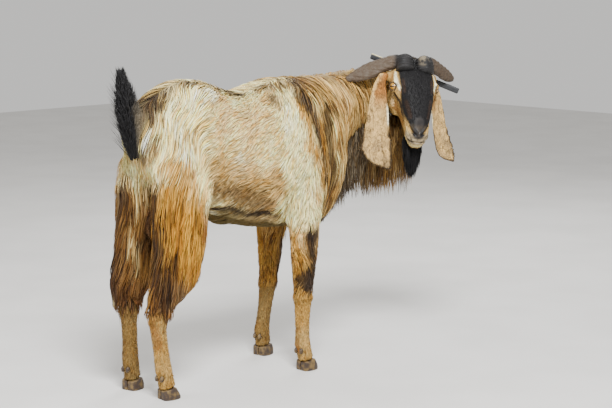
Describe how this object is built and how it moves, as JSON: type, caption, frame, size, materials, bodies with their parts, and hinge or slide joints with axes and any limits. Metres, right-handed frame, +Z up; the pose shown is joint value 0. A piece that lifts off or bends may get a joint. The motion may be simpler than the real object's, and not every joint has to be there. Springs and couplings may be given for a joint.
{
  "type": "goat",
  "caption": "Standing long-eared goat with short flat horns, a beard, a raised tail and feathered legs, looking back over its right side.",
  "frame": {"origin": "on the floor, at the middle of the bounding box seen from above", "axes": "+X the way the body faces, +Y its left, +Z up"},
  "size_m": [1.2069, 0.3953, 0.9057],
  "materials": {
    "coat": "matte hair",
    "long_hair": "matte long hair",
    "ear": "short velvety hair",
    "horn": "ridged, half matte",
    "hoof": "half matte",
    "eye": "wet gloss",
    "bar": "worn, half gloss"
  },
  "bodies": {
    "root": {"trunk": "coat", "neck": "coat", "head": "coat", "scrotum": "coat", "foreleg_right_upper": "coat", "foreleg_right_lower": "coat", "foreleg_left_upper": "coat", "foreleg_left_lower": "coat", "hindleg_right_upper": "coat", "hindleg_right_lower": "coat", "hindleg_left_upper": "coat", "hindleg_left_lower": "coat", "ruff": "long_hair", "beard": "long_hair", "tail": "long_hair", "ear_left": "ear", "horn_left": "horn", "eye_left": "eye", "ear_right": "ear", "horn_right": "horn", "eye_right": "eye", "nape_bar": "bar", "foreleg_right_claw_inner": "hoof", "foreleg_right_dewclaw_inner": "hoof", "foreleg_right_claw_outer": "hoof", "foreleg_right_dewclaw_outer": "hoof", "foreleg_left_claw_inner": "hoof", "foreleg_left_dewclaw_inner": "hoof", "foreleg_left_claw_outer": "hoof", "foreleg_left_dewclaw_outer": "hoof", "hindleg_right_claw_inner": "hoof", "hindleg_right_dewclaw_inner": "hoof", "hindleg_right_claw_outer": "hoof", "hindleg_right_dewclaw_outer": "hoof", "hindleg_left_claw_inner": "hoof", "hindleg_left_dewclaw_inner": "hoof", "hindleg_left_claw_outer": "hoof", "hindleg_left_dewclaw_outer": "hoof"}
  },
  "joints": []
}
